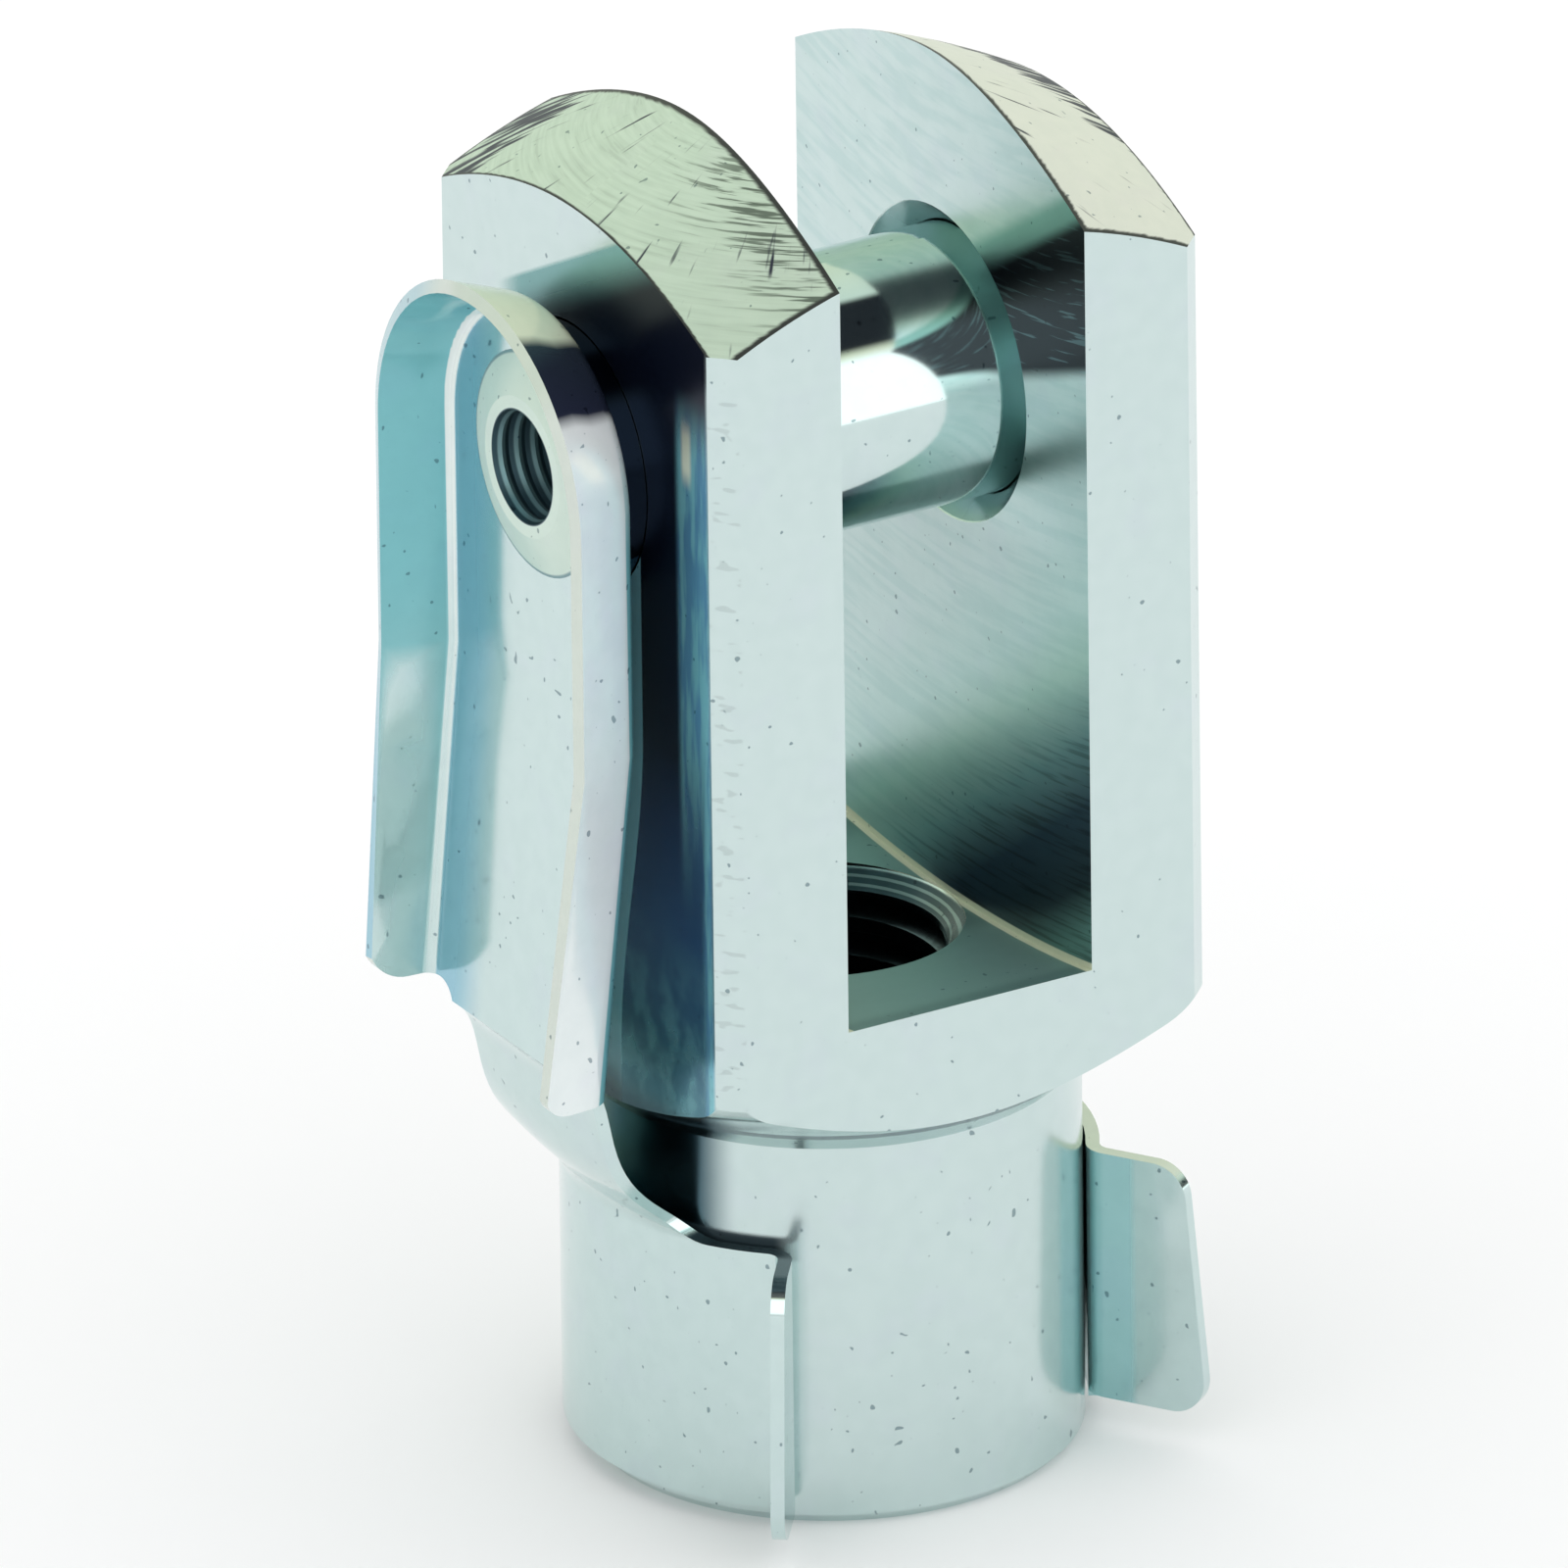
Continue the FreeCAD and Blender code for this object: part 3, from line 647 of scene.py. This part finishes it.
class Metal(Graph):
    """A plated metal whose colours go by place, in millimetres, and by the way a face looks."""

    def __init__(self, name, roughness, color):
        self.material = bpy.data.materials.new(name)
        self.material.use_nodes = True
        super().__init__(self.material.node_tree)
        self.shader = self.tree.nodes["Principled BSDF"]
        self.color = color
        self.rough = roughness
        self.dull = 0.0
        spot = self.node("ShaderNodeTexCoord")
        scaled = self.node("ShaderNodeVectorMath", operation="SCALE")
        self.feed(scaled.inputs[0], spot.outputs["Object"])
        scaled.inputs["Scale"].default_value = 1 / MM
        self.place = scaled.outputs[0]
        self.x, self.y, self.z = self.split(self.place)
        self.facing_x, self.facing_y, self.facing_z = self.split(spot.outputs["Normal"])

    def split(self, vector):
        made = self.node("ShaderNodeSeparateXYZ")
        self.feed(made.inputs[0], vector)
        return tuple(made.outputs)

    def join(self, *parts):
        made = self.node("ShaderNodeCombineXYZ")
        for socket, part in zip(made.inputs, parts):
            self.feed(socket, part)
        return made.outputs[0]

    def both(self, *masks):
        result = masks[0]
        for mask in masks[1:]:
            result = self.math("MULTIPLY", result, mask)
        return result

    def either(self, first, second):
        return self.math("MAXIMUM", first, second)

    def within(self, value, band):
        """1 inside a band, which is its low end, its high end and the fade outside them."""
        low, high, soft = band
        return self.both(self.step(value, (low - soft, low)), self.step(value, (high + soft, high)))

    def size(self, value):
        return self.math("ABSOLUTE", value)

    def past(self, value, low):
        return self.math("SUBTRACT", value, low)

    def line(self, value, slope, start):
        """A straight line over a value."""
        return self.math("MULTIPLY_ADD", value, slope, start)

    def radius(self, first, second):
        squares = self.math("ADD", self.both(first, first), self.both(second, second))
        return self.math("SQRT", squares)

    def round_pin(self):
        """The distance from the pin's axis."""
        return self.radius(self.y, self.past(self.z, PIN_HEIGHT))

    def streaks(self, first, second, look):
        """Noise over two values, drawn out along one of them."""
        place = self.join(self.both(first, look.first), self.both(second, look.second), look.offset)
        return self.noise(place, scale=1.0, detail=look.detail)

    def shades(self, value, span, stops):
        """Colours along a value up to a span. A stop is the value and its colour."""
        share = self.math("DIVIDE", value, span)
        return self.ramp(share, *((stop / span, color) for stop, color in stops))

    def tinted(self, share, color, tint):
        return self.mix(share, color, self.mix(1.0, color, tint, "MULTIPLY"))

    def plated(self, color):
        """The plating's clouds, patches, specks and pits over a colour."""
        for flaw in PLATING:
            noise = self.noise(self.place, flaw.scale, flaw.detail)
            color = self.tinted(self.both(self.step(noise, flaw.fade), flaw.share), color, flaw.tint)
        return color

    def paint(self, mask, color, dullness=0.0, roughness=0.0):
        """Gives the masked place its own colour and, if set, less metal and more roughness."""
        self.color = self.mix(mask, self.color, color)
        if dullness != 0.0:
            self.dull = self.either(self.dull, self.both(mask, dullness))
        if roughness != 0.0:
            self.rough = self.either(self.rough, self.both(mask, roughness))

    def finish(self):
        self.feed(self.shader.inputs["Base Color"], self.plated(self.color))
        self.feed(self.shader.inputs["Metallic"], self.math("SUBTRACT", 1.0, self.dull))
        self.feed(self.shader.inputs["Roughness"], self.rough)
        return self.material


def paint_slot(metal):
    """Milled walls and floor of the slot: arcs round the cutter's axis, over painted light and shade on
    the walls.
    """
    x, y, z = metal.x, metal.y, metal.z
    drop = metal.past(z, CUTTER_HEIGHT)
    reach = metal.radius(y, drop)
    sweep = metal.math("ARCTAN2", y, metal.both(drop, -1.0))
    arcs = metal.streaks(reach, sweep, MILLED_ARCS)
    lines = metal.streaks(reach, sweep, MILLED_LINES)
    in_slot = metal.both(metal.step(metal.size(x), SLOT_SIDE), metal.step(z, SLOT_BOTTOM))
    wall = metal.both(in_slot, metal.step(metal.size(metal.facing_x), FLAT))
    level = metal.line(y, WALL_SLANT, z)
    # Painted light and shade on the walls, by level, with the milling marks over it
    milled_and_shaded = metal.shades(level, WALL_SPAN, WALL_LIGHT_AND_SHADE)
    milled_and_shaded = metal.tinted(metal.both(metal.step(arcs, ARC_FADE), ARC_SHARE), milled_and_shaded, ARC_TINT)
    scored = metal.both(metal.step(lines, LINE_FADE), metal.step(level, DEEP_WALL))
    milled_and_shaded = metal.tinted(scored, milled_and_shaded, LINE_TINT)
    dullness = metal.both(metal.step(z, DULL_WALL), WALL_DULLNESS)
    metal.paint(wall, milled_and_shaded, dullness, roughness=0.3)
    paint_pin_shadow(metal, wall, lines)
    floor = metal.both(in_slot, metal.step(metal.facing_z, FLAT))
    grain = metal.tinted(metal.step(lines, FLOOR_LINE_FADE), FLOOR_TEAL, FLOOR_LINE_TINT)
    metal.paint(floor, grain, dullness=0.5, roughness=0.45)
    corner = metal.either(
        metal.both(wall, metal.step(reach, CORNER_REACH)),
        metal.both(floor, metal.step(metal.size(x), CORNER_SIDE)),
    )
    metal.paint(corner, CORNER_COLOR, dullness=0.9)


def paint_pin_shadow(metal, wall, lines):
    """The pin's painted shadow on the right wall in front of it: a black wedge with a painted teal edge
    above.
    """
    above = metal.past(metal.z, metal.line(metal.y, *WEDGE_TOP))
    below = metal.past(metal.z, metal.line(metal.y, *WEDGE_BOTTOM))
    front = metal.both(wall, metal.step(metal.x, WEDGE_SIDE), metal.step(metal.y, WEDGE_FRONT))
    # Painted teal edge of light along the top of the pin's shadow
    edge = metal.both(front, metal.within(above, WEDGE_EDGE), metal.step(below, WEDGE_EDGE_LOW))
    metal.paint(edge, PIN_SHADOW_EDGE_TEAL)
    # Painted black shadow of the pin, with the milling scratches over it
    wedge = metal.both(front, metal.step(above, WEDGE_HIGH), metal.step(below, WEDGE_LOW))
    scratch = metal.both(metal.step(lines, SCRATCH_FADE), SCRATCH_SHARE)
    metal.paint(wedge, metal.mix(scratch, PIN_SHADOW_BLACK, SCRATCH_COLOR))


def paint_dome(metal, radius):
    """The turned top: faint rings and torn streaks, painted light on the right tip, a ragged painted dark
    reflection along the outer edges and a painted dark line of shade along its edges.
    """
    x, y, z = metal.x, metal.y, metal.z
    turn = metal.math("ARCTAN2", y, x)
    dome = metal.both(metal.step(metal.facing_z, DOME_FACING), metal.step(z, DOME_START))
    rings = metal.streaks(radius, turn, DOME_RINGS)
    comb = metal.streaks(radius, turn, DOME_COMB)
    left = metal.step(x, LEFT_TIP)
    color = metal.tinted(metal.step(rings, RING_FADE), DOME_COLOR, RING_TINT)
    torn = metal.both(metal.step(x, TORN_SIDE), metal.step(y, TORN_FRONT), left)
    streak = metal.step(metal.line(torn, TORN_GAIN, rings), STREAK_FADE)
    share = metal.line(torn, TORN_SHARE, STREAK_SHARE)
    color = metal.mix(metal.both(streak, share), color, STREAK_COLOR)
    # Painted light: the right tip is cream
    color = metal.mix(metal.step(x, RIGHT_TIP), color, RIGHT_TIP_LIGHT)
    # Painted dark reflection, ragged, along the back of the left tip and the outer side of the right one
    outer = metal.either(
        metal.both(metal.step(y, LEFT_TIP_BACK), left),
        metal.both(metal.step(metal.line(y, COMB_SLANT, x), COMB_SIDE), metal.step(y, COMB_BACK)),
    )
    ragged = metal.step(metal.line(outer, COMB_GAIN, comb), COMB_FADE)
    color = metal.mix(ragged, color, COMB_REFLECTION)
    # Painted dark line of shade along the dome's edges
    side = metal.math("SUBTRACT", HALF_BAR, metal.size(x))
    inside = metal.both(metal.past(metal.size(x), HALF_SLOT), INNER_RIM_SHARE)
    front = metal.both(metal.math("SUBTRACT", HALF_BAR, metal.size(y)), FRONT_RIM_SHARE)
    rim = metal.math("MINIMUM", metal.math("MINIMUM", side, inside), front)
    color = metal.mix(metal.step(metal.line(rings, RIM_GAIN, rim), RIM_FADE), color, EDGE_LINE_SHADE)
    metal.paint(dome, color, dullness=0.75, roughness=0.5)


def side_shade(metal, over, behind):
    """The side behind the clip in painted shade, with a painted blue reflection and glint in front and a
    painted teal reflection behind.
    """
    y, z = metal.y, metal.z
    # Painted shade on the side, by height, with a painted teal reflection under the slanting edge
    shade = metal.shades(z, SIDE_SPAN, SIDE_PAINTED_SHADE)
    shade = metal.mix(metal.step(over, SIDE_TOP), shade, SIDE_TOP_REFLECTION)
    strip = metal.both(metal.step(y, STRIP_WIDE), metal.step(z, STRIP_RISE))
    strip = metal.either(strip, metal.step(y, STRIP_NARROW))
    mottled = metal.step(metal.streaks(y, z, SIDE_MOTTLE), MOTTLE_FADE)
    patch = metal.both(mottled, metal.step(z, PATCH_HEIGHT), PATCH_SHARE)
    grain = metal.step(metal.streaks(y, z, SIDE_GRAIN), GRAIN_FADE)
    # Painted blue reflection along the front of the side
    blue = metal.mix(grain, *STRIP_REFLECTION_BLUES)
    # Painted highlight: the glint near the clip's head
    glint = metal.both(metal.within(y, GLINT_SIDE), metal.within(z, GLINT_HEIGHT))
    blue = metal.mix(glint, blue, GLINT_HIGHLIGHT)
    shade = metal.mix(metal.both(strip, metal.step(z, STRIP_TOP)), shade, blue)
    shade = metal.mix(patch, shade, PATCH_COLOR)
    # Painted teal reflection behind the channel's fold
    return metal.mix(behind, shade, BEHIND_REFLECTION_TINT)


def paint_side(metal):
    """The side behind the clip: painted shade and reflections, where the gap swallows the light."""
    x, y, z = metal.x, metal.y, metal.z
    side = metal.both(metal.step(x, SIDE_FACE), metal.step(metal.facing_x, SIDE_FACING))
    over = metal.past(metal.line(y, *SIDE_EDGE), z)
    fold = metal.line(metal.step(z, CHANNEL_LEAN), *CHANNEL_FOLD)
    behind = metal.both(metal.step(metal.past(y, fold), BEHIND_FOLD), metal.step(z, BEHIND_HEIGHT))
    hidden = metal.past(y, metal.line(metal.step(z, HEAD_START), HEAD_REACH, fold))
    gap = metal.both(
        side,
        metal.step(over, GAP_TOP),
        metal.step(y, GAP_FRONT),
        metal.step(z, GAP_BOTTOM),
        metal.step(hidden, GAP_BACK),
    )
    metal.paint(gap, side_shade(metal, over, behind), dullness=0.35, roughness=0.25)
    # Painted teal reflection behind the channel's fold, dull
    metal.paint(metal.both(gap, behind), BEHIND_REFLECTION, dullness=0.9)


def paint_holes(metal, radius):
    """The cross bore's countersinks, painted shade in the threaded hole and painted light and shade on
    the thread's mouth.
    """
    sink = metal.both(
        metal.step(metal.round_pin(), COUNTERSINK_RIM), metal.within(metal.size(metal.x), EAR_INSIDE)
    )
    metal.paint(sink, COUNTERSINK_COLOR, dullness=0.3)
    # Painted shade inside the threaded hole
    hole = metal.both(metal.step(radius, THREAD_HOLE), metal.step(metal.z, HOLE_TOP))
    metal.paint(hole, HOLE_SHADE)
    # Painted light and shade for the ridges in the thread's mouth
    ridge = metal.step(metal.math("SINE", metal.both(metal.z, MOUTH_RIDGES)), MOUTH_RIDGE_FADE)
    mouth = metal.both(hole, metal.step(metal.z, MOUTH_BOTTOM))
    metal.paint(mouth, metal.mix(ridge, *MOUTH_LIGHT_AND_SHADE), dullness=0.5)


def paint_neck(metal, radius):
    """The turned groove under the shoulder in painted shade, and a faint band of painted shade beside the
    side ear.
    """
    x, y, z = metal.x, metal.y, metal.z
    # Painted shade in the groove under the shoulder
    groove = metal.both(
        metal.within(z, GROOVE_HEIGHT),
        metal.step(radius, GROOVE_INSIDE),
        metal.step(radius, GROOVE_OUTSIDE),
    )
    metal.paint(groove, GROOVE_SHADE, dullness=0.3)
    # Painted shade that the side ear throws on the neck
    band = metal.both(metal.within(x, BAND_SIDE), metal.step(y, BAND_FRONT), metal.within(z, BAND_HEIGHT))
    metal.paint(band, BAND_SHADE, dullness=0.2)


def paint_clamp_shadow(metal):
    """Painted shade in the nook between the shoulder and the clamp, and a dark painted shadow line over
    the clamp.
    """
    x, y, z = metal.x, metal.y, metal.z
    # Painted shade in the nook above the clamp
    nook = metal.both(metal.step(x, NOOK_SIDE), metal.step(y, NOOK_BACK), metal.within(z, NOOK_HEIGHT))
    metal.paint(nook, NOOK_SHADE)
    # Painted shadow line along the clamp's upper edge
    shadow_line = metal.both(metal.step(x, SHADOW_LINE_SIDE), metal.step(y, SHADOW_LINE_BACK), metal.within(z, SHADOW_LINE_HEIGHT))
    metal.paint(shadow_line, SHADOW_LINE_COLOR, dullness=0.6)


def paint_ticks(metal):
    """Small dark marks along the chamfer beside the clip."""
    x, y, z = metal.x, metal.y, metal.z
    place = metal.join(metal.both(x, TICKS_ACROSS), 0.0, metal.both(z, TICKS_ALONG))
    ticks = metal.step(metal.noise(place, scale=1.0, detail=1.0), TICK_FADE)
    chamfer = metal.both(
        metal.step(x, CHAMFER_FADE),
        metal.step(y, CHAMFER_FADE),
        metal.step(z, CHAMFER_BOTTOM),
        metal.step(z, CHAMFER_TOP),
    )
    metal.paint(metal.both(ticks, chamfer, TICK_SHARE), TICK_COLOR)


def fork_metal():
    metal = Metal("fork_metal", FORK_ROUGHNESS, PALE)
    radius = metal.radius(metal.x, metal.y)
    paint_slot(metal)
    paint_dome(metal, radius)
    paint_side(metal)
    paint_holes(metal, radius)
    paint_neck(metal, radius)
    paint_ticks(metal)
    paint_clamp_shadow(metal)
    return metal.finish()


def pin_metal():
    """Bright turned steel with a dull rivet head; painted shade at the head's rim, in its ridged hole and
    on the pin where it leaves the fork.
    """
    metal = Metal("pin_metal", PIN_ROUGHNESS, PIN_COLOR)
    x = metal.x
    radius = metal.round_pin()
    head = metal.both(metal.step(x, RIVET_HEAD), metal.step(radius, RIVET_HOLE_OUTSIDE))
    metal.paint(head, RIVET_COLOR, dullness=0.7, roughness=0.4)
    # Painted shadow line round the rivet head's rim
    metal.paint(metal.both(head, metal.step(radius, RIVET_RIM)), RIVET_RIM_SHADOW)
    # Painted shade on the pin in the gap between the fork and the clip
    metal.paint(metal.both(metal.step(x, PIN_END), metal.step(radius, PIN_RIM)), PIN_GAP_SHADE)
    # Painted shade in the rivet hole, with rings of painted light and shade for its ridges
    hole = metal.both(metal.step(x, RIVET_HOLE_BOTTOM), metal.step(radius, RIVET_HOLE_INSIDE))
    ring = metal.step(metal.math("SINE", metal.both(x, RIVET_RINGS)), RIVET_RING_FADE)
    metal.paint(hole, metal.mix(ring, *RIVET_HOLE_LIGHT_AND_SHADE), dullness=0.3, roughness=0.35)
    return metal.finish()


def paint_clamp(metal):
    """The clamp's cut edges, in painted shade over the neck, and painted teal reflections in the hollows
    of its two ears.
    """
    x, y, z = metal.x, metal.y, metal.z
    low = metal.step(z, CLAMP_PART)
    upward = metal.both(low, metal.step(metal.facing_z, UPWARD))
    metal.paint(upward, CUT_EDGE_COLOR, dullness=0.5)
    # Painted shade on the cut edges by the neck's nook
    landing = metal.both(upward, metal.step(x, LANDING_SIDE), metal.step(y, LANDING_FRONT))
    metal.paint(landing, LANDING_SHADE)
    upright = metal.step(metal.facing_z, UPRIGHT)
    # Painted teal reflection in the front ear's hollow
    front_ear = metal.both(
        low,
        metal.step(y, EAR_FRONT),
        metal.step(x, EAR_LEFT),
        metal.step(x, EAR_RIGHT),
        metal.step(metal.facing_x, EAR_FACING),
        upright,
    )
    metal.paint(front_ear, EAR_REFLECTION_TEAL, dullness=0.5)
    # Painted teal reflection in the side ear's hollow
    side_ear = metal.both(
        low,
        metal.step(x, SIDE_EAR_START),
        metal.step(y, SIDE_EAR_FRONT),
        metal.step(x, SIDE_EAR_BEND),
        upright,
    )
    metal.paint(side_ear, SIDE_EAR_REFLECTION_TEAL, dullness=0.3)


def paint_flanges(metal, channel):
    """The channel's outside: painted light and dark reflections on its arched head, a painted teal
    reflection on the bend, and the cut rim.
    """
    outside = metal.both(channel, metal.step(metal.facing_x, OUTSIDE))
    # Painted light and dark reflections round the arched head, by the way a face turns
    turned = metal.math("ARCTAN2", metal.facing_z, metal.both(metal.facing_y, -1.0))
    stops = ((math.radians(angle), color) for angle, color in ARCH_REFLECTIONS)
    ahead = metal.both(outside, metal.step(metal.facing_y, AHEAD))
    metal.paint(ahead, metal.shades(turned, math.pi, stops), dullness=0.8)
    # Painted teal reflection on the bend
    bend = metal.both(ahead, metal.step(metal.facing_x, BEND_FACING), metal.step(metal.z, BEND_TOP))
    metal.paint(bend, BEND_REFLECTION_TEAL)
    rim = metal.both(
        channel, metal.step(metal.x, FLANGE_RIM), metal.step(metal.facing_x, FLANGE_RIM_FACING)
    )
    metal.paint(rim, FLANGE_RIM_COLOR, dullness=0.5)


def paint_tray(metal, channel):
    """The channel's hollow: the teal back flange, a blue tray and a painted white highlight along the
    crease between them.
    """
    x, y, z = metal.x, metal.y, metal.z
    hollow = metal.both(channel, metal.step(x, HOLLOW))
    aside = metal.math("ADD", y, metal.either(metal.past(z, PIN_HEIGHT), 0.0))
    forward = metal.both(metal.step(metal.facing_y, FORWARD), metal.step(metal.facing_z, DOWNWARD))
    back = metal.both(
        hollow,
        metal.step(aside, BACK_FLANGE),
        forward,
        metal.step(metal.facing_x, BACK_FACING),
    )
    metal.paint(back, metal.mix(metal.step(z, BACK_FADE), *BACK_TEALS), dullness=0.7)
    tray = metal.both(hollow, metal.step(metal.facing_x, TRAY_FACING), metal.step(y, TRAY_BACK))
    metal.paint(tray, TRAY_BLUE, dullness=0.3)
    # Painted highlight along the crease
    crease = metal.both(
        hollow,
        metal.step(aside, CREASE_START),
        metal.within(metal.facing_x, CREASE_FACING),
        forward,
        metal.step(x, CREASE_DEPTH),
    )
    metal.paint(crease, CREASE_HIGHLIGHT, dullness=0.6)


def clip_metal():
    metal = Metal("clip_metal", CLIP_ROUGHNESS, PLATED_STEEL)
    paint_clamp(metal)
    channel = metal.step(metal.z, CHANNEL_START)
    # Painted shade on the channel's faces towards the fork
    inner = metal.both(metal.step(metal.facing_x, INNER_FACING), channel)
    metal.paint(inner, INNER_SHADE_BLUE)
    paint_flanges(metal, channel)
    paint_tray(metal, channel)
    return metal.finish()


add_camera()
set_world()
add_floor()
fork = threaded_fork()
clip = crisp_clip()
for piece, material in (
    (fork, fork_metal()),
    (nodes["clevis_pin"], pin_metal()),
    (clip, clip_metal()),
):
    piece.data.materials.clear()
    piece.data.materials.append(material)

bpy.context.scene.view_settings.view_transform = "Standard"
